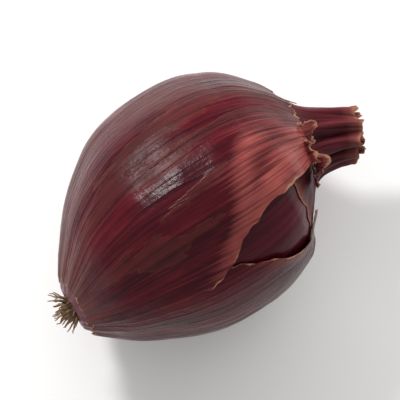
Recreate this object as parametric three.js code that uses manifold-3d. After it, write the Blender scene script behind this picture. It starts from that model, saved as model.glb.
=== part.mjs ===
// A red onion, dry and cured, as it lies on a table: the bulb with its pleated neck, the two
// sheets of papery outer skin that have split apart, and the root plate with its dried roots.
// Millimetres. +X runs from the root end to the neck and +Z is up. The origin is on the table,
// under the middle of the onion's box.

import * as THREE from 'three';
import { mergeVertices } from 'three/addons/utils/BufferGeometryUtils.js';
import Module from 'manifold-3d';

const { smoothstep, lerp, degToRad, seededRandom } = THREE.MathUtils;
const wasm = await Module();
wasm.setup();

// Driving dimensions
const bulbRadius = 25;
const bulbLength = 60.5;
const neckLength = 12.5;
const neckRadius = 5.8;
const neckTurn = degToRad(30);
const neckHeading = degToRad(195);
const rootLean = 5;
const rootHeading = degToRad(210);
const flatSpotDepth = 0.75;
const sheetThickness = 0.6;
const sheetGap = 0.35;
const rootPlateRadius = 2.9;
const rootCount = 24;
const rootThickness = 0.62;

// Outline of the bulb, from the middle of the root hollow to the middle of the cut neck: how far
// along the axis, and how far out from it.
const along = (share) => share * bulbLength;
const out = (share) => share * bulbRadius;
const neckAt = (share) => bulbLength + share * neckLength;
const outlinePlaces = [
  [along(0.04), 0],
  [along(0.036), out(0.1)],
  [along(0.008), out(0.176)],
  [along(0.023), out(0.26)],
  [along(0.091), out(0.464)],
  [along(0.182), out(0.688)],
  [along(0.327), out(0.89)],
  [along(0.464), out(0.98)],
  [along(0.6), out(1)],
  [along(0.727), out(0.965)],
  [along(0.836), out(0.84)],
  [along(0.927), out(0.61)],
  [along(0.982), out(0.43)],
  [neckAt(0.2), neckRadius * 1.34],
  [neckAt(0.55), neckRadius * 1.12],
  [neckAt(0.9), neckRadius],
  [neckAt(1), neckRadius * 0.84],
  [neckAt(0.93), neckRadius * 0.6],
  [neckAt(0.83), neckRadius * 0.3],
  [neckAt(0.8), 0],
];
const outline = new THREE.SplineCurve(outlinePlaces.map(([x, radius]) => new THREE.Vector2(radius, x)));
const outlineLength = outline.getLength();

// A point of the outline at a share of its length, pushed out square to it.
function liftedOutline(share, lift) {
  const outward = outline.getTangentAt(share).rotateAround(new THREE.Vector2(), -Math.PI / 2);
  return outline.getPointAt(share).addScaledVector(outward, lift);
}

// Low relief of the skin: how far it stands out from the turned outline. Angles go round the
// axis from +Y, and a quarter turn is +Z.
function relief(x, radius, angle) {
  const flesh = 1 - smoothstep(x, along(0.836), along(1));
  const belly = smoothstep(x, along(0.05), along(0.25)) * flesh;
  const neck = smoothstep(x, along(0.855), neckAt(0.15)) * Math.min(1, radius / neckRadius);
  const root = (1 - smoothstep(x, along(0.05), along(0.2))) * Math.min(1, radius / out(0.3));
  const deep = 0.08 * (1 - smoothstep(x, along(0.1), along(0.45)));
  const oval = (0.018 - deep) * Math.cos(2 * angle) + 0.01 * Math.cos(3 * angle + 1.1);
  const lobes = 0.32 * Math.sin(8 * angle + 0.9 * Math.sin(angle + 0.5));
  const twist = 0.075 * (x - along(0.82));
  const pleats = 0.55 * Math.sin(9 * angle + twist) + 0.35 * Math.sin(5 * angle + 2 + twist);
  const gathers = 0.22 * Math.sin(16 * angle + 1);
  return radius * oval * flesh + lobes * belly + pleats * neck + gathers * root;
}

// The root end leans to one side: a point there, moved aside with it.
const leanStart = along(0.4);

function leaned(point) {
  const aside = rootLean * Math.max(0, 1 - point.x / leanStart) ** 2;
  point.y += aside * Math.cos(rootHeading);
  point.z += aside * Math.sin(rootHeading);
  return point;
}

// A point of the skin, with the axis on X up to the shoulder. From there to the cut end the
// neck turns over to its heading along an arc, and its end is frayed.
const bendStart = along(0.82);
const bendArc = (neckAt(1) - bendStart) / neckTurn;

function skinPoint(x, radius, angle) {
  const r = radius + relief(x, radius, angle);
  const fray = 0.45 * Math.sin(5 * angle + 1) + 0.35 * Math.sin(12 * angle);
  const rim = smoothstep(x, neckAt(0.6), neckAt(1)) * Math.min(1, radius / neckRadius);
  const slant = 0.05 * r * Math.cos(angle - 0.6) * (1 - smoothstep(x, along(0.727), along(1)));
  const reach = x + fray * rim + slant;
  const turn = Math.max(0, reach - bendStart) / bendArc;
  const inward = r * Math.cos(angle - neckHeading);
  const across = r * Math.sin(angle - neckHeading);
  const aside = bendArc * (1 - Math.cos(turn)) + inward * Math.cos(turn);
  return leaned(new THREE.Vector3(
    Math.min(reach, bendStart) + bendArc * Math.sin(turn) - inward * Math.sin(turn),
    aside * Math.cos(neckHeading) - across * Math.sin(neckHeading),
    aside * Math.sin(neckHeading) + across * Math.cos(neckHeading),
  ));
}

function closedGeometry(geometry) {
  geometry.deleteAttribute('normal');
  geometry.deleteAttribute('uv');
  return mergeVertices(geometry, 1e-4);
}

function reshape(geometry, place) {
  const position = geometry.attributes.position;
  const point = new THREE.Vector3();
  for (let i = 0; i < position.count; i++) {
    point.copy(place(point.fromBufferAttribute(position, i)));
    position.setXYZ(i, point.x, point.y, point.z);
  }
  return geometry;
}

function solidFrom(geometry) {
  return new wasm.Manifold(new wasm.Mesh({
    numProp: 3,
    vertProperties: new Float32Array(geometry.attributes.position.array),
    triVerts: new Uint32Array(geometry.index.array),
  }));
}

function geometryFrom(solid) {
  const mesh = solid.getMesh();
  const geometry = new THREE.BufferGeometry();
  geometry.setAttribute('position', new THREE.BufferAttribute(mesh.vertProperties, 3));
  geometry.setIndex(new THREE.BufferAttribute(mesh.triVerts, 1));
  return geometry;
}

// Bulb with its neck: the turned outline in relief, flattened where it rests.
function makeBulb() {
  const turned = new THREE.LatheGeometry(outline.getPoints(45), 60);
  turned.rotateZ(-Math.PI / 2);
  const skin = reshape(
    closedGeometry(turned),
    (p) => skinPoint(p.x, Math.hypot(p.y, p.z), Math.atan2(p.z, p.y)),
  );
  skin.computeBoundingBox();
  const slabSize = 4 * bulbRadius;
  const slab = new THREE.BoxGeometry(slabSize, slabSize, slabSize);
  slab.translate(0, 0, skin.boundingBox.min.z + flatSpotDepth - slabSize / 2);
  return geometryFrom(solidFrom(skin).subtract(solidFrom(closedGeometry(slab))));
}

// A sheet of the outer skin: a block whose width is laid round the bulb, and whose height follows
// the outline between two shares of its length. Its edges are torn, and it has come loose there.
function makeSheet({ angles, reach, across, down, loose }) {
  const tear = 0.6;
  const block = closedGeometry(new THREE.BoxGeometry(1, 1, 1, across, down, 1));
  return reshape(block, (p) => {
    const u = p.x + 0.5;
    const v = p.y + 0.5;
    const endTear = tear * (Math.sin(23 * u) + 0.5 * Math.sin(41 * u)) * Math.abs(2 * v - 1) ** 3;
    const sideTear = tear * (Math.sin(17 * v) + 0.5 * Math.sin(31 * v)) * Math.abs(2 * u - 1) ** 3;
    const share = lerp(...reach(u), v) + endTear / outlineLength;
    const angle = degToRad(lerp(...angles(v), u)) + sideTear / bulbRadius;
    const lifted = liftedOutline(share, sheetGap + loose(u, v) + sheetThickness * (p.z + 0.5));
    return skinPoint(lifted.y, lifted.x, angle);
  });
}

function makeUpperSkin() {
  return makeSheet({
    angles: (v) => [-58, lerp(131, 115, smoothstep(v, 0.43, 0.8))],
    reach: (u) => [0.085, 0.723 - 0.02 * Math.sin(7 * u)],
    across: 30,
    down: 16,
    loose: (u, v) => smoothstep(u, 0.84, 1) * (0.5 + 1.6 * smoothstep(v, 0.6, 1)),
  });
}

function makeLowerSkin() {
  return makeSheet({
    angles: (v) => [lerp(136, 158, smoothstep(v, 0.47, 1)), 236],
    reach: (u) => [0.09, 0.675 + 0.035 * Math.cos(6 * u)],
    across: 14,
    down: 14,
    loose: (u, v) => 0.6 * smoothstep(1 - u, 0.8, 1) + 0.5 * smoothstep(v, 0.85, 1),
  });
}

// Root plate: a corky button in the root hollow. The roots stand on it in a spiral, as evenly
// as seeds do, splay outward and are broken off short.
const plateSeat = along(0.024);
const plateCrown = along(-0.01);
const goldenAngle = Math.PI * (3 - Math.sqrt(5));

function makeRoot(index) {
  const ring = Math.sqrt((index + 0.5) / rootCount);
  const angle = index * goldenAngle;
  const length = lerp(1.3, 2.6, seededRandom());
  const splay = ring * lerp(0.35, 0.9, seededRandom());
  const curl = lerp(-0.5, 0.5, seededRandom());
  const outward = new THREE.Vector3(0, Math.cos(angle), Math.sin(angle));
  const sideways = new THREE.Vector3(0, -Math.sin(angle), Math.cos(angle));
  const stations = [0, 0.5, 1].map((t) => new THREE.Vector3()
    .setX(lerp(plateSeat / 2, plateCrown - length, t))
    .addScaledVector(outward, rootPlateRadius * 0.84 * ring + splay * length * t * t)
    .addScaledVector(sideways, curl * length * t * t));
  const corners = [0, 1, 2].map((side) => new THREE.Vector2(rootThickness / 2, 0)
    .rotateAround(new THREE.Vector2(), side * Math.PI * 2 / 3));
  return new THREE.ExtrudeGeometry(new THREE.Shape(corners), {
    extrudePath: new THREE.CatmullRomCurve3(stations),
    steps: 3,
    bevelEnabled: false,
  });
}

function makeRootTuft() {
  const button = [
    [plateCrown, 0],
    [lerp(plateCrown, plateSeat, 0.1), rootPlateRadius * 0.55],
    [lerp(plateCrown, plateSeat, 0.35), rootPlateRadius * 0.9],
    [lerp(plateCrown, plateSeat, 0.7), rootPlateRadius],
    [plateSeat, rootPlateRadius * 0.75],
    [plateSeat, 0],
  ].map(([x, radius]) => new THREE.Vector2(radius, x));
  const plate = new THREE.LatheGeometry(button, 20).rotateZ(-Math.PI / 2);
  seededRandom(7);
  let tuft = solidFrom(closedGeometry(plate));
  for (let index = 0; index < rootCount; index++) {
    tuft = tuft.add(solidFrom(closedGeometry(makeRoot(index))));
  }
  return reshape(geometryFrom(tuft), leaned);
}

// Finishes
const plumSkin = new THREE.MeshStandardMaterial({ color: 0x5a1f30, roughness: 0.32, metalness: 0 });
const paperySkin = new THREE.MeshStandardMaterial({ color: 0x733438, roughness: 0.55, metalness: 0 });
const dryRoots = new THREE.MeshStandardMaterial({ color: 0x9a8568, roughness: 0.9, metalness: 0 });

function makePiece(name, geometry, material) {
  const mesh = new THREE.Mesh(geometry, material);
  mesh.name = name;
  return mesh;
}

const onion = new THREE.Group();
onion.add(
  makePiece('bulb', makeBulb(), plumSkin),
  makePiece('outer_skin_upper', makeUpperSkin(), paperySkin),
  makePiece('outer_skin_lower', makeLowerSkin(), paperySkin),
  makePiece('root_tuft', makeRootTuft(), dryRoots),
);

// It stands on its flat spot, with the middle of its box over the origin.
const box = new THREE.Box3().setFromObject(onion, true);
const middle = box.getCenter(new THREE.Vector3());
for (const piece of onion.children) piece.position.set(-middle.x, -middle.y, -box.min.z);

export default onion;
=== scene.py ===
# A dry red onion lying on its side, built piece by piece from the bulb outward.
# Lengths are in millimetres until to_part() turns a piece's points into the part's metres.
# What Blender itself measures is in metres: nodes' offsets, modifiers, lights and the camera.

import math

import bmesh
import bpy
import numpy as np
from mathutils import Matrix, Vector


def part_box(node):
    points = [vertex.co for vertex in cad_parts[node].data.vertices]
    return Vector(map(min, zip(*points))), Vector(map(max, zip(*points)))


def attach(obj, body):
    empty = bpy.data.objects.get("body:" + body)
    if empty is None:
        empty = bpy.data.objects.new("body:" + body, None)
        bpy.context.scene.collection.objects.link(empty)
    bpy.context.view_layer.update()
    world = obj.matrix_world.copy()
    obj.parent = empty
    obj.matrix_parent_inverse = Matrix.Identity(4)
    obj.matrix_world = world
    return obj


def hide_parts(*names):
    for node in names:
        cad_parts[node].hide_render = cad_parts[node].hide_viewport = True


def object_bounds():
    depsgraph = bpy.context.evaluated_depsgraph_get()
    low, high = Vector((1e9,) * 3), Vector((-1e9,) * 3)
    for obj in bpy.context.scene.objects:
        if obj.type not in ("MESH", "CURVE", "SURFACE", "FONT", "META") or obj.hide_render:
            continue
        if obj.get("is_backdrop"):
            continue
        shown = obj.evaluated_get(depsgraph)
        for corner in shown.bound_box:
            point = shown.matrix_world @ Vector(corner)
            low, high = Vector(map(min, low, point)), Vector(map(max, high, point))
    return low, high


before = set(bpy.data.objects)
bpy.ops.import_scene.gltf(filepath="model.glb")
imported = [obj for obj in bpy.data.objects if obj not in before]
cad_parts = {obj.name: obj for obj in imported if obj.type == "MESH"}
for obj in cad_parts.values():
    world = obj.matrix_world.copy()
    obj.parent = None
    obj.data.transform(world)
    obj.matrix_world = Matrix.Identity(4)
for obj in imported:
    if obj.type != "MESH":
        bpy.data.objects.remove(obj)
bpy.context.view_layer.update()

# Bulb: waxy plum skin over the flesh, gathered to the root plate at one end and drawn out into
# the neck at the other. It grew round one axis, so one outline is turned about that axis, then
# ovalled, lobed and bent over at the neck. It has settled on a small flat spot.

bulb_radius = 25.0
bulb_length = 60.5
neck_length = 12.5
neck_radius = 5.8
neck_turn = math.radians(30)
neck_heading = math.radians(195)
root_lean = 5.0
root_heading = math.radians(210)
flat_spot_depth = 0.75


def along(share):
    return share * bulb_length


def out(share):
    return share * bulb_radius


def neck_at(share):
    return bulb_length + share * neck_length


def smooth(value, low, high):
    share = np.clip((value - low) / (high - low), 0, 1)
    return share * share * (3 - 2 * share)


def spline(places, steps=60):
    """Points of the even Catmull-Rom curve through some places."""
    places = np.array(places)
    padded = np.vstack([places[:1], places, places[-1:]])
    t = np.arange(steps)[:, None] / steps
    spans = []
    for before, start, end, after in zip(padded, padded[1:], padded[2:], padded[3:]):
        leave, arrive = (end - before) / 2, (after - start) / 2
        square = 3 * (end - start) - 2 * leave - arrive
        cube = 2 * (start - end) + leave + arrive
        spans.append(start + leave * t + square * t**2 + cube * t**3)
    return np.vstack([*spans, places[-1:]])


# How far along the axis and how far out, from the root hollow to the middle of the cut neck.
outline = spline([
    (along(0.04), 0),
    (along(0.036), out(0.1)),
    (along(0.008), out(0.176)),
    (along(0.023), out(0.26)),
    (along(0.091), out(0.464)),
    (along(0.182), out(0.688)),
    (along(0.327), out(0.89)),
    (along(0.464), out(0.98)),
    (along(0.6), out(1)),
    (along(0.727), out(0.965)),
    (along(0.836), out(0.84)),
    (along(0.927), out(0.61)),
    (along(0.982), out(0.43)),
    (neck_at(0.2), neck_radius * 1.34),
    (neck_at(0.55), neck_radius * 1.12),
    (neck_at(0.9), neck_radius),
    (neck_at(1), neck_radius * 0.84),
    (neck_at(0.93), neck_radius * 0.6),
    (neck_at(0.83), neck_radius * 0.3),
    (neck_at(0.8), 0),
])


class Line:
    """An outline, with the run along it and its normals away from the axis."""

    def __init__(self, points):
        slope = np.gradient(points, axis=0)
        normal = np.stack([-slope[:, 1], slope[:, 0]], axis=1)
        steps = np.linalg.norm(np.diff(points, axis=0), axis=1)
        self.points = points
        self.normal = normal / np.linalg.norm(normal, axis=1)[:, None]
        self.run = np.concatenate([[0], np.cumsum(steps)])

    def at(self, run, lift=0.0):
        """Place and radius at a run along the outline, lifted square off it."""
        return tuple(
            np.interp(run, self.run, self.points[:, axis])
            + lift * np.interp(run, self.run, self.normal[:, axis])
            for axis in (0, 1)
        )


skin_line = Line(outline)
skin_length = skin_line.run[-1]
bend_start = along(0.82)
bend_arc = (neck_at(1) - bend_start) / neck_turn
lean_start = along(0.4)


def relief(x, radius, angle):
    """Broad relief of the bulb: how far it stands out from the turned outline."""
    flesh = 1 - smooth(x, along(0.836), along(1))
    belly = smooth(x, along(0.05), along(0.25)) * flesh
    neck = smooth(x, along(0.855), neck_at(0.15)) * np.minimum(1, radius / neck_radius)
    root = (1 - smooth(x, along(0.05), along(0.2))) * np.minimum(1, radius / out(0.3))
    deep = 0.08 * (1 - smooth(x, along(0.1), along(0.45)))
    oval = (0.018 - deep) * np.cos(2 * angle) + 0.01 * np.cos(3 * angle + 1.1)
    lobes = 0.32 * np.sin(8 * angle + 0.9 * np.sin(angle + 0.5))
    twist = 0.075 * (x - bend_start)
    pleats = 0.55 * np.sin(9 * angle + twist) + 0.35 * np.sin(5 * angle + 2 + twist)
    gathers = 0.22 * np.sin(16 * angle + 1)
    return radius * oval * flesh + lobes * belly + pleats * neck + gathers * root


def leaned(points):
    """Points moved aside where the root end leans."""
    aside = root_lean * np.maximum(0, 1 - points[..., :1] / lean_start) ** 2
    return points + aside * np.array([0, math.cos(root_heading), math.sin(root_heading)])


def skin_point(x, radius, angle):
    """Points of the skin: the axis is X up to the shoulder, then turns over along an arc."""
    r = radius + relief(x, radius, angle)
    fray = 0.45 * np.sin(5 * angle + 1) + 0.35 * np.sin(12 * angle)
    rim = smooth(x, neck_at(0.6), neck_at(1)) * np.minimum(1, radius / neck_radius)
    slant = 0.05 * r * np.cos(angle - 0.6) * (1 - smooth(x, along(0.727), along(1)))
    reach = x + fray * rim + slant
    turn = np.maximum(0, reach - bend_start) / bend_arc
    inward, across = r * np.cos(angle - neck_heading), r * np.sin(angle - neck_heading)
    aside = bend_arc * (1 - np.cos(turn)) + inward * np.cos(turn)
    return leaned(np.stack([
        np.minimum(reach, bend_start) + bend_arc * np.sin(turn) - inward * np.sin(turn),
        aside * math.cos(neck_heading) - across * math.sin(neck_heading),
        aside * math.sin(neck_heading) + across * math.cos(neck_heading),
    ], axis=-1))


def round_the_axis(columns):
    """A row of even angles, once round."""
    return np.linspace(0, 2 * math.pi, columns, endpoint=False)[None, :]


bulb_rows = 220
bulb_columns = 360
bulb_run = np.linspace(0, skin_length, bulb_rows)[:, None]
bulb_angle = round_the_axis(bulb_columns)

# The bulb as it grew, before it settled on the table, and the way from its frame to the part's.
grown = skin_point(*skin_line.at(bulb_run), bulb_angle)
grown_low, grown_high = grown.min((0, 1)), grown.max((0, 1))
table_level = grown_low[2] + flat_spot_depth
node_low, node_high = (np.array(corner) * 1000 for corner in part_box("bulb"))
to_origin = (node_low + node_high - grown_low - grown_high) / 2
to_origin[2] = node_low[2] - table_level


def to_part(points):
    """The part's own metres, for points in the bulb's frame. What rests on the table is flat."""
    softness = 0.06
    level = table_level + softness * np.logaddexp(0, (points[..., 2] - table_level) / softness)
    return (np.concatenate([points[..., :2], level[..., None]], axis=-1) + to_origin) / 1000


def grid_object(name, points, wraps=False, holes=None, **attributes):
    """A piece from a grid of points, with a value of each attribute for each point. Points of
    the grid that fall together are joined, and those that no face needs are dropped."""
    together = 1e-7
    index = np.arange(points[..., 0].size).reshape(points.shape[:2])
    if wraps:
        index = np.hstack([index, index[:, :1]])
    quads = np.stack([index[:-1, :-1], index[:-1, 1:], index[1:, 1:], index[1:, :-1]], axis=-1)
    quads = quads.reshape(-1, 4) if holes is None else quads[~holes]
    mesh = bpy.data.meshes.new(name)
    mesh.from_pydata(to_part(points).reshape(-1, 3), [], quads)
    for label, values in attributes.items():
        vector = values.ndim == 3
        made = mesh.attributes.new(label, "FLOAT_VECTOR" if vector else "FLOAT", "POINT")
        made.data.foreach_set("vector" if vector else "value", values.astype(np.float32).ravel())
    body = bmesh.new()
    body.from_mesh(mesh)
    bmesh.ops.remove_doubles(body, verts=body.verts, dist=together)
    unused = [vert for vert in body.verts if not vert.link_faces]
    bmesh.ops.delete(body, geom=unused, context="VERTS")
    body.to_mesh(mesh)
    body.free()
    piece = bpy.data.objects.new(name, mesh)
    bpy.context.scene.collection.objects.link(piece)
    return piece


far_from_edge = 99.0


def skin_object(
    name, line, run, angle, lift=0.0, draw_in=0.0, edge=far_from_edge, loose=0.0, run_before=0.0, **options,
):
    """A layer of skin on an outline, from a grid of runs, angles and lifts.

    Its grain attribute holds the place on the skin in mm, for patterns that follow it from root
    to neck, also on a line that starts some run after the root. Its girth is its share of the
    widest radius, its edge the way to a torn edge, and its looseness the way it stands off what
    is under it."""
    x, radius = line.at(run, lift)
    radius = radius - draw_in
    x, radius, run, angle, edge, loose = np.broadcast_arrays(x, radius, run, angle, edge, loose)
    sideways, upward = bulb_radius * np.cos(angle), bulb_radius * np.sin(angle)
    grain = np.stack([sideways, upward, run + run_before], axis=-1)
    return grid_object(
        name, skin_point(x, radius, angle),
        grain=grain, girth=radius / bulb_radius, edge=edge, loose=loose, **options,
    )


def node(tree, kind, inputs=None, output=0, **settings):
    """Adds a node: its settings, and its inputs as values or as sockets to link. Gives an output."""
    made = tree.nodes.new(kind)
    for name, value in settings.items():
        setattr(made, name, value)
    for key, value in (inputs or {}).items():
        if isinstance(value, bpy.types.NodeSocket):
            tree.links.new(value, made.inputs[key])
        else:
            made.inputs[key].default_value = value
    return made.outputs[output] if made.outputs else made


def grain_noise(tree, grain, width, length, seed=0.0, detail=2.0):
    """Noise from 0 to 1 in cells of a width round the bulb and a length from root to neck."""
    cell = node(tree, "ShaderNodeCombineXYZ", {0: width, 1: width, 2: length})
    place = node(tree, "ShaderNodeVectorMath", {0: grain, 1: cell}, operation="DIVIDE")
    inputs = {"Vector": place, "W": seed, "Scale": 1.0, "Detail": detail}
    return node(tree, "ShaderNodeTexNoise", inputs, noise_dimensions="4D")


def vein_lines(tree, grain, count, sharpness):
    """Lines from root to neck, evenly spaced round the bulb, that sway and fade as they go."""
    parts = node(tree, "ShaderNodeSeparateXYZ", {0: grain})
    angle = node(tree, "ShaderNodeMath", {0: parts.node.outputs[1], 1: parts}, operation="ARCTAN2")
    sway = grain_noise(tree, grain, width=9.0, length=26.0, seed=3.0)
    swayed = node(tree, "ShaderNodeMath", {0: sway, 1: 0.16, 2: angle}, operation="MULTIPLY_ADD")
    turns = node(tree, "ShaderNodeMath", {0: swayed, 1: count}, operation="MULTIPLY")
    wave = node(tree, "ShaderNodeMath", {0: turns}, operation="COSINE")
    ridges = node(tree, "ShaderNodeMath", {0: wave, 1: 0.0}, operation="MAXIMUM")
    lines = node(tree, "ShaderNodeMath", {0: ridges, 1: sharpness}, operation="POWER")
    patchy = grain_noise(tree, grain, width=5.0, length=15.0, seed=6.0)
    strength = node(tree, "ShaderNodeMapRange", {0: patchy, 1: 0.35, 2: 0.65, 3: 0.25, 4: 1.0})
    return node(tree, "ShaderNodeMath", {0: lines, 1: strength}, operation="MULTIPLY")


def relief_tree():
    """Geometry nodes that raise veins, creases and dents on a skin, along its grain."""
    tree = bpy.data.node_groups.new("Veins and creases", "GeometryNodeTree")
    tree.interface.new_socket("Skin", in_out="OUTPUT", socket_type="NodeSocketGeometry")
    tree.interface.new_socket("Skin", in_out="INPUT", socket_type="NodeSocketGeometry")
    for label in (
        "Vein count", "Vein height", "Crease width", "Crease depth", "Dent width", "Dent depth", "Seed",
    ):
        tree.interface.new_socket(label, in_out="INPUT", socket_type="NodeSocketFloat")
    tree.interface.new_socket("Material", in_out="INPUT", socket_type="NodeSocketMaterial")
    given = node(tree, "NodeGroupInput").node.outputs
    grain = node(tree, "GeometryNodeInputNamedAttribute", {"Name": "grain"}, data_type="FLOAT_VECTOR")
    girth = node(tree, "GeometryNodeInputNamedAttribute", {"Name": "girth"}, data_type="FLOAT")
    veins = vein_lines(tree, grain, given["Vein count"], sharpness=5.0)
    # Creases run from root to neck, and are this many times as long as they are wide.
    stretch = 9.0
    length = node(tree, "ShaderNodeMath", {0: given["Crease width"], 1: stretch}, operation="MULTIPLY")
    creases = grain_noise(tree, grain, given["Crease width"], length, given["Seed"], detail=3.0)
    dents = grain_noise(tree, grain, given["Dent width"], given["Dent width"], given["Seed"])
    rise = 0.0
    for pattern, middle, height in (
        (veins, 0.0, given["Vein height"]),
        (creases, 0.5, given["Crease depth"]),
        (dents, 0.5, given["Dent depth"]),
    ):
        centred = node(tree, "ShaderNodeMath", {0: pattern, 1: middle}, operation="SUBTRACT")
        rise = node(tree, "ShaderNodeMath", {0: centred, 1: height, 2: rise}, operation="MULTIPLY_ADD")
    # At the poles the patterns crowd together, so they fade out there. 0.001 turns mm to metres.
    metres = node(tree, "ShaderNodeMapRange", {0: girth, 1: 0.05, 2: 0.35, 4: 0.001})
    rise = node(tree, "ShaderNodeMath", {0: rise, 1: metres}, operation="MULTIPLY")
    # The flat spot stays flat.
    above_table = node(tree, "ShaderNodeSeparateXYZ", {0: node(tree, "GeometryNodeInputPosition")}, 2)
    off_table = node(tree, "ShaderNodeMapRange", {0: above_table, 1: 0.0, 2: 0.0006})
    rise = node(tree, "ShaderNodeMath", {0: rise, 1: off_table}, operation="MULTIPLY")
    normal = node(tree, "GeometryNodeInputNormal")
    offset = node(tree, "ShaderNodeVectorMath", {0: normal, "Scale": rise}, operation="SCALE")
    moved = node(tree, "GeometryNodeSetPosition", {"Geometry": given["Skin"], "Offset": offset})
    whole = node(tree, "GeometryNodeRealizeInstances", {0: moved})
    dressed = node(tree, "GeometryNodeSetMaterial", {0: whole, "Material": given["Material"]})
    node(tree, "NodeGroupOutput", {0: dressed})
    return tree


def give_nodes(piece, tree, values):
    """Adds a Geometry Nodes modifier. Its inputs are known by their sockets' identifiers."""
    modifier = piece.modifiers.new(tree.name, "NODES")
    modifier.node_group = tree
    for item in tree.interface.items_tree:
        if item.in_out == "INPUT" and item.name in values:
            modifier[item.identifier] = values[item.name]


def finish_piece(piece, crease=50):
    """Makes the result of a piece's modifiers its plain mesh, and lets it ride in its slot."""
    graph = bpy.context.evaluated_depsgraph_get()
    made = bpy.data.meshes.new_from_object(piece.evaluated_get(graph), depsgraph=graph)
    piece.modifiers.clear()
    piece.data = made
    made.shade_smooth()
    made.set_sharp_from_angle(angle=math.radians(crease))
    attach(piece, "root")


skin_relief = relief_tree()


def finish_skin(piece, material, veins, vein_height, crease_width, crease_depth, thickness=0.0):
    """Gives a layer of skin its relief and, unless it is solid, its thickness inward. Every
    layer has the same dents, so that layers that lie on each other stay apart."""
    give_nodes(piece, skin_relief, {
        "Vein count": float(veins), "Vein height": vein_height,
        "Crease width": crease_width, "Crease depth": crease_depth,
        "Dent width": 7.0, "Dent depth": 0.4, "Seed": 4.0, "Material": material,
    })
    if thickness:
        shell = piece.modifiers.new("thickness", "SOLIDIFY")
        shell.thickness = thickness / 1000
        shell.offset = -1
    finish_piece(piece)


def linear(colour):
    """Linear RGBA from an sRGB hex colour."""
    channels = [int(colour[place:place + 2], 16) / 255 for place in (1, 3, 5)]
    return [c / 12.92 if c <= 0.04045 else ((c + 0.055) / 1.055) ** 2.4 for c in channels] + [1]


def painted(tree, base, *coats):
    """A base colour under coats of others. A coat comes in where its pattern goes from its first
    value to its second, as far as its share."""
    colour = linear(base)
    for pattern, first, second, share, shade in coats:
        amount = node(tree, "ShaderNodeMapRange", {0: pattern, 1: first, 2: second, 4: share})
        colour = node(tree, "ShaderNodeMix", {0: amount, 6: colour, 7: linear(shade)}, 2, data_type="RGBA")
    return colour


def heaped(tree, *patterns):
    """The sum of patterns, each times its weight, as a height for bumps."""
    total = 0.0
    for pattern, weight in patterns:
        total = node(tree, "ShaderNodeMath", {0: pattern, 1: weight, 2: total}, operation="MULTIPLY_ADD")
    return total


def empty_material(name):
    """A new material, and its tree with nothing in it."""
    material = bpy.data.materials.new(name)
    material.use_nodes = True
    material.node_tree.nodes.clear()
    return material, material.node_tree


def surfaced(material, inputs):
    """The material, with a surface that has these inputs."""
    tree = material.node_tree
    surface = node(tree, "ShaderNodeBsdfPrincipled", inputs)
    node(tree, "ShaderNodeOutputMaterial", {"Surface": surface})
    return material


# Plant wax and dried leaf bend light alike, and neither mirrors much.
skin_ior = 1.4
skin_specular = 0.2

plum_veins = 52


def waxy_plum_skin():
    """The living scale's skin: wax over plum pigment, so it is deep in colour and glossy, with
    fine streaks and veins from root to neck, and paler and lilac-grey where it is gathered in at the root,
    partly its own paler base and partly a painted sheen."""
    material, tree = empty_material("living_skin_waxed")
    grain = node(tree, "ShaderNodeAttribute", output="Vector", attribute_name="grain")
    girth = node(tree, "ShaderNodeAttribute", output="Fac", attribute_name="girth")
    broad = grain_noise(tree, grain, width=11.0, length=30.0, seed=1.0)
    streaks = grain_noise(tree, grain, width=0.9, length=26.0, seed=2.0, detail=4.0)
    veins = vein_lines(tree, grain, plum_veins, sharpness=14.0)
    colour = painted(
        tree, "#360916",
        (broad, 0.35, 0.65, 1.0, "#52101e"),
        (streaks, 0.5, 0.75, 0.4, "#6f2435"),
        (streaks, 0.5, 0.3, 0.5, "#25050e"),
        (veins, 0.0, 1.0, 0.3, "#1f040b"),
        # Partly painted sheen: the skin is painted paler and lilac-grey toward the root.
        (girth, 0.5, 0.25, 0.55, "#6d3a45"),
    )
    height = heaped(tree, (streaks, 1.0), (veins, -0.5))
    roughness = node(tree, "ShaderNodeMapRange", {0: streaks, 1: 0.3, 2: 0.7, 3: 0.24, 4: 0.34})
    bump = node(tree, "ShaderNodeBump", {"Height": height, "Strength": 0.5, "Distance": 0.0001})
    return surfaced(material, {
        "Base Color": colour, "Roughness": roughness, "Normal": bump,
        "IOR": skin_ior, "Specular IOR Level": skin_specular,
        "Coat Weight": 0.06, "Coat Roughness": 0.15,
    })


# Inside the dry neck the flesh has shrunk away from the layers round it.
shrunk = 1.7 * smooth(skin_line.at(bulb_run)[0], along(0.955), neck_at(0.2))
bulb = skin_object("bulb", skin_line, bulb_run, bulb_angle, lift=-shrunk, wraps=True)
finish_skin(
    bulb, waxy_plum_skin(),
    veins=plum_veins, vein_height=0.05, crease_width=2.4, crease_depth=0.12,
)
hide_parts("bulb")

# Outer skin: the dead outermost scale, dried to paper. It split from the neck downward as the
# bulb cured, so two sheets overlap at the root end and gape toward the neck, with torn edges
# and curled scraps. They are thicker than life, so their edges show, and leave the underside bare.

paper_thickness = 0.15
paper_gap = 0.42
paper_veins = 58
side_tear_height = 0.9
end_tear_height = 1.7


def torn_line(share, seed, bites=((7, 1.0), (19, 0.5), (47, 0.3))):
    """The wander of a torn edge, from -1 to 1 or so: corners at several spacings. It meets
    itself, so that it can go round."""
    draw = np.random.default_rng(seed)
    total = 0
    for count, height in bites:
        corners = draw.uniform(-1, 1, count + 1)
        corners[-1] = corners[0]
        total = total + height * np.interp(share * count, np.arange(count + 1), corners)
    return total


def torn_strips(share, seed, count):
    """The end of a sheet, from -1 to 1: strips between veins, each torn off at its own slant."""
    draw = np.random.default_rng(seed)
    stops = np.concatenate([[0], np.sort(draw.uniform(0.01, 0.99, count - 1)), [1]])
    strip = np.clip(np.searchsorted(stops, share, side="right") - 1, 0, count - 1)
    across = (share - stops[strip]) / (stops[strip + 1] - stops[strip])
    reach, slant = draw.uniform(-0.75, 0.75, count), draw.uniform(-0.3, 0.3, count)
    return reach[strip] + slant[strip] * (2 * across - 1)


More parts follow.
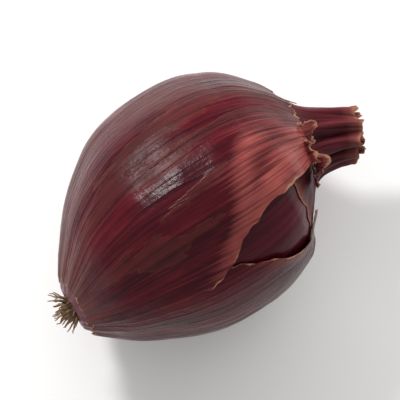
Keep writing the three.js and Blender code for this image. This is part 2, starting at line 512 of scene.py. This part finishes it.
def dry_paper_skin():
    """Dead scale dried to paper: satin maroon, streaked and veined from root to neck, under
    patches of a duller, browner film. Where it has come off the bulb it is painted paler and rosy,
    as painted light on the lifted skin, and where it tore it is tan."""
    material, tree = empty_material("outer_skin_dried")
    grain = node(tree, "ShaderNodeAttribute", output="Vector", attribute_name="grain")
    girth = node(tree, "ShaderNodeAttribute", output="Fac", attribute_name="girth")
    edge = node(tree, "ShaderNodeAttribute", output="Fac", attribute_name="edge")
    loose = node(tree, "ShaderNodeAttribute", output="Fac", attribute_name="loose")
    broad = grain_noise(tree, grain, width=8.0, length=24.0, seed=11.0)
    patches = grain_noise(tree, grain, width=3.0, length=6.0, seed=12.0, detail=5.0)
    streaks = grain_noise(tree, grain, width=0.7, length=24.0, seed=13.0, detail=4.0)
    crinkles = grain_noise(tree, grain, width=1.6, length=0.7, seed=14.0, detail=3.0)
    veins = vein_lines(tree, grain, paper_veins, sharpness=20.0)
    cells = grain_noise(tree, grain, width=0.45, length=0.9, seed=15.0)
    film = grain_noise(tree, grain, width=5.5, length=22.0, seed=16.0, detail=6.0)
    # The film is left mostly on the side that lies toward +Y.
    side = node(tree, "ShaderNodeSeparateXYZ", {0: grain})
    film = node(tree, "ShaderNodeMath", {0: side, 1: 0.003, 2: film}, operation="MULTIPLY_ADD")
    film_step = node(tree, "ShaderNodeMapRange", {0: film, 1: 0.54, 2: 0.56})
    ragged = node(tree, "ShaderNodeMapRange", {0: patches, 1: 0.35, 2: 0.65, 3: -0.4, 4: 0.7})
    ragged = node(tree, "ShaderNodeMath", {0: edge, 1: ragged}, operation="ADD")
    # Painted light: where the skin stands loose it is painted paler and rosier, as if lit, in streaks along
    # its fibres.
    lifted_painted_light = node(tree, "ShaderNodeMath", {0: streaks, 1: 1.6, 2: loose}, operation="MULTIPLY_ADD")
    colour = painted(
        tree, "#370812",
        (broad, 0.4, 0.6, 1.0, "#4d0d18"),
        (film, 0.535, 0.544, 0.2, "#7c4638"),
        (film, 0.54, 0.565, 0.7, "#421719"),
        # Painted light: a paler, rosy colour where the skin stands loose.
        (lifted_painted_light, 1.1, 2.0, 0.8, "#a4544e"),
        (patches, 0.52, 0.7, 0.3, "#642022"),
        (patches, 0.45, 0.3, 0.45, "#2c0710"),
        (streaks, 0.5, 0.75, 0.4, "#6d2428"),
        (streaks, 0.5, 0.28, 0.6, "#26060e"),
        (veins, 0.0, 0.8, 0.55, "#1e050a"),
        (girth, 0.55, 0.3, 0.35, "#6a4034"),
        (ragged, 0.4, 0.05, 0.8, "#b5866a"),
    )
    height = heaped(
        tree, (streaks, 1.0), (veins, 0.4), (patches, 0.5), (crinkles, 0.3), (cells, 0.35), (film_step, 0.4),
    )
    roughness = node(tree, "ShaderNodeMapRange", {0: film, 1: 0.45, 2: 0.6, 3: 0.22, 4: 0.34})
    bump = node(tree, "ShaderNodeBump", {"Height": height, "Strength": 0.6, "Distance": 0.00018})
    return surfaced(material, {
        "Base Color": colour, "Roughness": roughness, "Normal": bump,
        "IOR": skin_ior, "Specular IOR Level": skin_specular,
    })


paper_skin = dry_paper_skin()


def outer_sheet(name, rows, columns, angles, runs, lift, seed, strips, splits):
    """A sheet of outer skin: u goes round the bulb and v from root to neck. Its angles and runs
    give its sides and its ends before they tore, in degrees and mm. Each split gives the angle
    and the run of its middle, its length and its width."""
    u, v = np.meshgrid(np.linspace(0, 1, columns), np.linspace(0, 1, rows))
    first, last = angles(v)
    side_tear = torn_line(v, seed, ((5, 0.8), (17, 0.55), (47, 0.45))) * np.abs(2 * u - 1) ** 6
    angle = np.radians(first + (last - first) * u) + side_tear_height * side_tear / bulb_radius
    start, end = runs(u)
    neck_tear = torn_strips(u, seed + 1, strips) + 0.4 * torn_line(u, seed + 2, ((31, 1.0), (83, 0.6)))
    root_tear = torn_line(u, seed + 3, ((7, 0.6), (19, 0.35), (47, 0.15)))
    end_tear = np.where(v > 0.5, neck_tear, root_tear) * np.abs(2 * v - 1) ** 10
    run = start + (end - start) * v + end_tear_height * end_tear
    girth = skin_line.at(run)[1]
    to_side = np.minimum(u, 1 - u) * np.radians(last - first) * girth
    to_end = np.minimum(v, 1 - v) * (end - start)
    # Near the root the sheets have come apart cleanly, with no tan edge.
    edge = np.minimum(to_side + 1.2 * (1 - smooth(v, 0.15, 0.45)), to_end)
    raised = lift(u, v)
    holes = np.zeros((rows - 1, columns - 1), bool)
    for split_angle, middle, length, width in splits:
        past = (run - middle) / (length / 2)
        away = (angle - np.radians(split_angle + 1.5 * np.sin(2 * past))) * girth
        wander = torn_line(np.clip(0.5 + past / 2, 0, 1), seed + 4, ((5, 1.0), (13, 0.5)))
        opening = width / 2 * np.maximum(0, 1 - past**2) ** 1.3 * (1 + 0.3 * wander * np.sign(away))
        near = np.exp(-np.abs(away) / 1.6)
        corners = np.stack([away[:-1, :-1], away[:-1, 1:], away[1:, :-1], away[1:, 1:]])
        crossed = (corners.min(0) < 0) & (corners.max(0) >= 0)
        holes |= crossed & (opening[:-1, :-1] > 0) & (opening[1:, 1:] > 0)
        from_split = np.hypot(away, np.maximum(0, np.abs(past) - 1) * length / 2)
        edge = np.minimum(edge, 0.15 + 2.5 * from_split)
        angle = angle + np.sign(away) * opening * near / girth
        raised = raised + np.where(away > 0, 0.9, 0.25) * opening * near
    # How far the sheet stands off is kept as its looseness, which the material turns into painted light.
    return skin_object(
        name, skin_line, run, angle, lift=paper_gap + paper_thickness + raised,
        edge=edge, loose=raised, holes=holes,
    )


def upper_lift(u, v):
    """Loose along the split, crumpled beside it, and curled up at the corner by the neck."""
    ripple = 0.5 + 0.5 * np.sin(13 * v + 2 * np.sin(5 * v))
    flutter = 0.5 + 0.5 * np.sin(41 * v + 3 * np.sin(9 * v))
    along_split = smooth(u, 0.9, 1) * (0.35 + 0.4 * ripple + 0.15 * flutter)
    along_split = along_split * (0.3 + 0.7 * smooth(v, 0.36, 0.59))
    corner = smooth(u, 0.88, 1) * smooth(v, 0.65, 0.91) * (0.75 + 0.75 * ripple)
    crumples = 0.7 + 0.19 * np.sin(17 * v + 31 * u + 2 * np.sin(9 * v))
    crumples = crumples + 0.08 * np.sin(41 * v - 37 * u + 1)
    beside_split = smooth(u, 0.7, 0.86) * (1 - 0.5 * smooth(u, 0.9, 1)) * smooth(v, 0.54, 0.72)
    neck_end = 0.5 * smooth(v, 0.93, 1) * flutter
    return along_split + corner + 1.3 * beside_split * crumples + neck_end


def lower_lift(u, v):
    """Loose along the split where it gapes, and at its end by the neck."""
    gape = smooth(-u, -0.16, 0) * smooth(v, 0.54, 0.68) * (0.5 + 0.3 * np.sin(17 * v + 1))
    return gape + 0.6 * smooth(v, 0.9, 1) * (0.5 + 0.5 * np.sin(23 * u))


scrap_gap = 0.3
# The scraps' looseness sets only how much painted light the paper skin's material gives them.
scrap_looseness = 0.7


def paper_scrap(name, angle, run, length, width, curl, seed):
    """A scrap torn out of a sheet: held at one end, tapering and rolled up toward the other. Its
    angle and its curl are in degrees, and it points to the root where its length is negative."""
    u, v = np.meshgrid(np.linspace(-1, 1, 26), np.linspace(0, 1, 44))
    taper = (1 - 0.35 * v**2) * (1 + 0.16 * torn_line(v, seed, ((4, 1.0), (13, 0.8))))
    tip = 0.16 * torn_line(0.5 + u / 2, seed + 1, ((3, 1.0), (9, 0.8))) * v**4
    rolled = math.radians(curl) * (v + tip) ** 1.4
    roller = length / math.radians(curl)
    run = run + roller * np.sin(rolled)
    twist = 0.25 * u * v * math.copysign(1, seed % 2 - 0.5)
    raised = np.abs(roller) * (1 - np.cos(rolled)) * (1 + twist)
    half = width / 2 * taper
    edge = np.minimum(half * (1 - np.abs(u)), (1 - v) * abs(length))
    lift = paper_gap + 2 * paper_thickness + scrap_gap + raised
    around = math.radians(angle) + u * half / skin_line.at(run)[1]
    return skin_object(name, skin_line, run, around, lift=lift, edge=edge, loose=scrap_looseness)


def from_root(share):
    return share * skin_length


for name, rows, columns, angles, runs, lift, seed, strips, splits in (
    (
        "outer_skin_upper", 166, 294,
        lambda v: (-58.0, 138 - 22 * smooth(v, 0.45, 0.77)),
        lambda u: (from_root(0.081), from_root(0.772 - 0.02 * np.sin(7 * u))),
        upper_lift, 21, 34,
        ((-4.0, 42.0, 5.0, 1.2), (-38.0, 62.0, 7.0, 1.0), (-22.0, 30.0, 6.0, 0.8)),
    ),
    (
        "outer_skin_lower", 170, 160,
        lambda v: (132 + 26 * smooth(v, 0.47, 0.97), 236.0),
        lambda u: (from_root(0.086), from_root(0.7 + 0.035 * np.cos(6 * u))),
        lower_lift, 31, 17,
        ((196.0, 53.0, 9.0, 0.8),),
    ),
):
    sheet = outer_sheet(name, rows, columns, angles, runs, lift, seed, strips, splits)
    finish_skin(
        sheet, paper_skin,
        veins=paper_veins, vein_height=0.06, crease_width=2.2, crease_depth=0.22,
        thickness=paper_thickness,
    )
    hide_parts(name)

for number, (angle, share, length, width, curl) in enumerate((
    (108, 0.782, -4.4, 6.0, 75),
    (121, 0.791, -5.2, 5.4, 120),
    (131, 0.772, -4.6, 4.6, 60),
    (92, 0.772, 3.0, 5.4, 80),
), start=1):
    scrap = paper_scrap(f"paper_scrap_{number}", angle, from_root(share), length, width, curl, 50 + number)
    finish_skin(
        scrap, paper_skin,
        veins=paper_veins, vein_height=0.05, crease_width=1.6, crease_depth=0.2,
        thickness=paper_thickness,
    )

# Neck: the bases of the leaves, dried and drawn together in pleats, and cut through when the
# onion was topped. They are several thin layers, one inside the other, frayed at the cut.

# Its outline is the bulb's from the shoulder to the cut, and goes straight on past it.
run_to_shoulder = 55
hollow_radius = 5
outside = (
    (skin_line.run > run_to_shoulder) & (outline[:, 0] < neck_at(0.88)) & (outline[:, 1] > hollow_radius)
)
shoulder = outline[outside]
past_cut = shoulder[-1] + np.outer(np.linspace(0.2, 6, 30), [1.0, 0.0])
neck_line = Line(np.vstack([shoulder, past_cut]))
run_before_neck = skin_line.run[outside][0]


def dry_neck_skin():
    """Leaf bases dried to dark maroon: matt and fibrous, striped along the neck, and tan at their
    cut ends."""
    material, tree = empty_material("neck_dried_pleated")
    grain = node(tree, "ShaderNodeAttribute", output="Vector", attribute_name="grain")
    edge = node(tree, "ShaderNodeAttribute", output="Fac", attribute_name="edge")
    broad = grain_noise(tree, grain, width=9.0, length=12.0, seed=21.0)
    fibres = grain_noise(tree, grain, width=1.4, length=22.0, seed=22.0, detail=4.0)
    stripes = grain_noise(tree, grain, width=4.5, length=34.0, seed=23.0, detail=1.0)
    crinkles = grain_noise(tree, grain, width=4.0, length=0.8, seed=24.0, detail=3.0)
    colour = painted(
        tree, "#3c0f17",
        (broad, 0.35, 0.65, 1.0, "#4e171d"),
        (stripes, 0.5, 0.62, 0.5, "#60262d"),
        (stripes, 0.5, 0.38, 0.6, "#2b0911"),
        (fibres, 0.55, 0.78, 0.35, "#743a34"),
        (fibres, 0.48, 0.28, 0.6, "#22070b"),
        (edge, 3.5, 0.5, 0.6, "#80463f"),
        (edge, 0.9, 0.05, 0.7, "#95664f"),
    )
    height = heaped(tree, (fibres, 1.0), (stripes, 0.6), (crinkles, 0.5))
    roughness = node(tree, "ShaderNodeMapRange", {0: fibres, 1: 0.3, 2: 0.7, 3: 0.42, 4: 0.62})
    bump = node(tree, "ShaderNodeBump", {"Height": height, "Strength": 0.7, "Distance": 0.00022})
    return surfaced(material, {
        "Base Color": colour, "Roughness": roughness, "Normal": bump,
        "IOR": skin_ior, "Specular IOR Level": skin_specular,
    })


def neck_layer(name, start, end, shrink, lift, seed, rows, columns):
    """A layer of the neck as a tube in pleats, from a place along the axis to the cut. Pleats
    and finer crimps sink into it, and the inner layers are pressed flatter."""
    angle = round_the_axis(columns)
    share = angle / (2 * math.pi)
    first, last = np.interp((start, end), neck_line.points[:, 0], neck_line.run)
    first = np.maximum(0, first + 2.2 * torn_line(share, seed, ((6, 1.0), (23, 0.5), (61, 0.3))))
    cut = 0.5 * torn_line(share, seed + 1, ((9, 1.0), (41, 0.7)))
    last = last + cut + 0.5 * torn_strips(share, seed + 4, 24)
    v = np.linspace(0, 1, rows)[:, None]
    run = first + (last - first) * v
    x, radius = neck_line.at(run)
    tight = smooth(x, along(0.937), neck_at(0.25))
    pressed = np.minimum(0.35, 1.75 * shrink) * (1 - shrink) * np.cos(angle - 1.3 * seed) ** 2
    turned = angle + 0.5 * np.sin(angle + seed) + 0.25 * np.sin(2 * angle + 3 * seed)
    fold = 1 - np.abs(np.sin(3.5 * turned + 0.06 * x + seed))
    crimp = 1 - np.abs(np.sin(8 * turned - 0.09 * x + 2 * seed))
    fold = fold * (1 + 0.6 * torn_line(share, seed + 3, ((7, 1.0),)))
    flare = 0.15 + 0.35 * torn_line(share, seed + 2, ((9, 1.0), (17, 0.5)))
    flare = flare * smooth(x, neck_at(0.8), neck_at(1))
    draw_in = tight * ((shrink + pressed) * radius + 0.55 * fold**3 + 0.22 * crimp**2) - flare
    edge = np.minimum(v, 1 - v) * (last - first)
    return skin_object(
        name, neck_line, run, angle, lift=lift, draw_in=draw_in, edge=edge,
        run_before=run_before_neck, wraps=True,
    )


neck_skin = dry_neck_skin()
for number, (start, end, shrink, lift, rows, columns) in enumerate((
    (along(0.873), neck_at(0.97), 0.03, 0.24, 110, 340),
    (neck_at(0.1), neck_at(1.02), 0.19, 0.0, 60, 300),
    (neck_at(0.3), neck_at(0.97), 0.33, 0.0, 40, 260),
    (neck_at(0.4), neck_at(1.0), 0.5, 0.0, 30, 200),
    (neck_at(0.5), neck_at(0.95), 0.7, 0.0, 24, 140),
), start=1):
    layer = neck_layer(f"neck_layer_{number}", start, end, shrink, lift, 40 + number, rows, columns)
    finish_skin(
        layer, neck_skin,
        veins=40, vein_height=0.08, crease_width=3.0, crease_depth=0.25, thickness=0.1,
    )

# Root plate and roots: a corky button at the base of the bulb, and the roots that grew from it,
# dried to wiry bristles and broken short.

plate_radius = 2.9
plate_seat = along(0.024)
plate_crown = along(-0.01)
plate_depth = plate_seat - plate_crown
plate_line = spline([
    (plate_crown, 0),
    (plate_crown + 0.1 * plate_depth, plate_radius * 0.55),
    (plate_crown + 0.35 * plate_depth, plate_radius * 0.9),
    (plate_seat - 0.3 * plate_depth, plate_radius),
    (plate_seat, plate_radius * 0.75),
    (plate_seat, 0),
], steps=10)


def cork_or_fibre(name, cell, dark, pale, roughness):
    """Dead brown tissue: dull, and mottled where earth is left in its hollows. The cells of its
    mottling have a size in mm."""
    material, tree = empty_material(name)
    place = node(tree, "ShaderNodeTexCoord", output="Object")
    mottle = node(tree, "ShaderNodeTexNoise", {"Vector": place, "Scale": 1000 / cell, "Detail": 4.0})
    bump = node(tree, "ShaderNodeBump", {"Height": mottle, "Strength": 0.8, "Distance": 0.0002})
    colour = painted(tree, dark, (mottle, 0.35, 0.65, 1.0, pale))
    return surfaced(material, {"Base Color": colour, "Roughness": roughness, "Normal": bump})


def bristle_tree():
    """Geometry nodes that stand bent, tapered bristles on the faces that look along -X."""
    tree = bpy.data.node_groups.new("Bristles", "GeometryNodeTree")
    tree.interface.new_socket("Bristles", in_out="OUTPUT", socket_type="NodeSocketGeometry")
    tree.interface.new_socket("Plate", in_out="INPUT", socket_type="NodeSocketGeometry")
    for label in ("Spacing", "Shortest", "Longest", "Thickness", "Bend"):
        tree.interface.new_socket(label, in_out="INPUT", socket_type="NodeSocketFloat")
    tree.interface.new_socket("Seed", in_out="INPUT", socket_type="NodeSocketInt")
    tree.interface.new_socket("Material", in_out="INPUT", socket_type="NodeSocketMaterial")
    given = node(tree, "NodeGroupInput").node.outputs
    facing = node(tree, "ShaderNodeSeparateXYZ", {0: node(tree, "GeometryNodeInputNormal")})
    # Denser than the spacing ever lets them stand, so that the spacing alone rules.
    no_limit = 1e8
    spots = node(tree, "GeometryNodeDistributePointsOnFaces", {
        "Mesh": given["Plate"],
        "Selection": node(tree, "FunctionNodeCompare", {0: facing, 1: -0.2}, operation="LESS_THAN"),
        "Distance Min": given["Spacing"],
        "Density Max": no_limit,
        "Seed": given["Seed"],
    }, distribute_method="POISSON")
    stem = node(tree, "GeometryNodeCurvePrimitiveLine", {"End": (0.0, 0.0, 1.0)})
    length = node(tree, "FunctionNodeRandomValue", {
        2: given["Shortest"], 3: given["Longest"], "Seed": given["Seed"],
    }, 1, data_type="FLOAT")
    stood = node(tree, "GeometryNodeInstanceOnPoints", {
        "Points": spots,
        "Instance": node(tree, "GeometryNodeResampleCurve", {"Curve": stem, "Count": 10}),
        "Rotation": spots.node.outputs["Rotation"],
        "Scale": node(tree, "ShaderNodeCombineXYZ", {0: length, 1: length, 2: length}),
    })
    stems = node(tree, "GeometryNodeRealizeInstances", {0: stood})
    share = node(tree, "GeometryNodeSplineParameter", output="Factor")
    place = node(tree, "GeometryNodeInputPosition")
    sway = node(tree, "ShaderNodeTexNoise", {"Vector": place, "Scale": 380.0, "Detail": 2.0}, "Color")
    sway = node(tree, "ShaderNodeVectorMath", {0: sway, 1: (0.5, 0.5, 0.5)}, operation="SUBTRACT")
    amount = node(tree, "ShaderNodeMath", {0: share, 1: given["Bend"]}, operation="MULTIPLY")
    offset = node(tree, "ShaderNodeVectorMath", {0: sway, "Scale": amount}, operation="SCALE")
    bent = node(tree, "GeometryNodeSetPosition", {"Geometry": stems, "Offset": offset})
    taper = node(tree, "ShaderNodeMapRange", {0: share, 3: 0.5, 4: 0.2})
    bristles = node(tree, "GeometryNodeCurveToMesh", {
        "Curve": bent,
        "Profile Curve": node(tree, "GeometryNodeCurvePrimitiveCircle", {"Resolution": 6, "Radius": 1.0}),
        "Scale": node(tree, "ShaderNodeMath", {0: taper, 1: given["Thickness"]}, operation="MULTIPLY"),
        "Fill Caps": True,
    })
    whole = node(tree, "GeometryNodeRealizeInstances", {0: bristles})
    dressed = node(tree, "GeometryNodeSetMaterial", {0: whole, "Material": given["Material"]})
    node(tree, "NodeGroupOutput", {0: dressed})
    return tree


plate_angle = round_the_axis(60)
plate_x, plate_out = plate_line[:, :1], plate_line[:, 1:]
knob_height = 0.12
knobs = np.sin(7 * plate_angle + 2 * plate_x) + 0.6 * np.sin(13 * plate_angle - 3 * plate_x)
plate_out = plate_out + knob_height * knobs * np.minimum(1, plate_out / 2)
plate = grid_object("root_plate", leaned(np.stack([
    plate_x + 0 * plate_angle, plate_out * np.cos(plate_angle), plate_out * np.sin(plate_angle),
], axis=-1)), wraps=True)
plate.data.materials.append(cork_or_fibre("cork_dried", 1.1, "#42301f", "#775a40", 0.9))
roots = bpy.data.objects.new("roots", plate.data.copy())
bpy.context.scene.collection.objects.link(roots)
# The bristles' sizes are in metres, as the nodes measure.
give_nodes(roots, bristle_tree(), {
    "Spacing": 0.0007, "Shortest": 0.0014, "Longest": 0.0036, "Thickness": 0.0005, "Bend": 0.0035,
    "Seed": 8, "Material": cork_or_fibre("root_fibre_dried", 1.4, "#5a4130", "#967555", 0.75),
})
for piece in (plate, roots):
    finish_piece(piece)
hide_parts("root_tuft")

# Stage: a pale floor, and three soft lights. The key light stands over the upper left of the
# picture, and of the three it alone shows in the skin's gloss. A long low one behind the onion
# draws its upper rim, and a weak one fills in the root end from the lower left.


def plain_floor():
    """Floor: matt white card, so that the light from it is soft and without colour."""
    material, tree = empty_material("card_matt")
    place = node(tree, "ShaderNodeTexCoord", output="Object")
    mottle = node(tree, "ShaderNodeTexNoise", {"Vector": place, "Scale": 6.0})
    colour = painted(tree, "#f5f4f3", (mottle, 0.0, 1.0, 1.0, "#f9f8f7"))
    return surfaced(material, {"Base Color": colour, "Roughness": 0.9})


floor_half = 3.0
floor_mesh = bpy.data.meshes.new("floor")
floor_mesh.from_pydata([
    (-floor_half, -floor_half, 0), (floor_half, -floor_half, 0),
    (floor_half, floor_half, 0), (-floor_half, floor_half, 0),
], [], [(0, 1, 2, 3)])
floor_mesh.materials.append(plain_floor())
floor = bpy.data.objects.new("floor", floor_mesh)
bpy.context.scene.collection.objects.link(floor)
floor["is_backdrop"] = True

# In the picture the axis rises this far to the right, and the view is from nearly overhead.
axis_rise = math.radians(33)
view_elevation = math.radians(80)
picture_up = Vector((math.sin(axis_rise), math.cos(axis_rise), 0))
picture_right = Vector((math.cos(axis_rise), -math.sin(axis_rise), 0))
up = Vector((0, 0, 1))


def aim(thing, place, target):
    thing.location = place
    thing.rotation_euler = (target - place).to_track_quat("-Z", "Y").to_euler()
    bpy.context.scene.collection.objects.link(thing)


low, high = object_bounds()
centre = (low + high) / 2
camera_data = bpy.data.cameras.new("camera")
camera_data.lens = 250
camera_data.clip_start, camera_data.clip_end = 0.01, 20
camera = bpy.data.objects.new("camera", camera_data)
picture_width = 0.085
distance = picture_width * camera_data.lens / camera_data.sensor_width
toward_camera = up * math.sin(view_elevation) - picture_up * math.cos(view_elevation)
aim(camera, centre + toward_camera * distance, centre)
bpy.context.scene.camera = camera

lit_point = Vector((0, 0, 0.02))
for name, place, width, height, power, mirrored in (
    ("key", picture_up * 0.49 - picture_right * 0.44 + up * 0.66, 0.16, 0.16, 5.4, True),
    ("rim", picture_up * 0.95 + picture_right * 0.1 + up * 0.22, 1.3, 0.34, 12.0, False),
    ("fill", -picture_right * 0.8 - picture_up * 0.35 + up * 0.25, 0.9, 0.4, 1.4, False),
):
    lamp = bpy.data.lights.new(name, "AREA")
    lamp.shape = "RECTANGLE"
    lamp.size = width
    lamp.size_y = height
    lamp.energy = power
    light = bpy.data.objects.new(name, lamp)
    light.visible_glossy = mirrored
    aim(light, place, lit_point)

world = bpy.data.worlds.new("studio")
bpy.context.scene.world = world
world.use_nodes = True
daylight = world.node_tree.nodes["Background"].inputs
daylight["Color"].default_value = linear("#f2f2f2")
daylight["Strength"].default_value = 0.62
bpy.context.scene.view_settings.view_transform = "Standard"
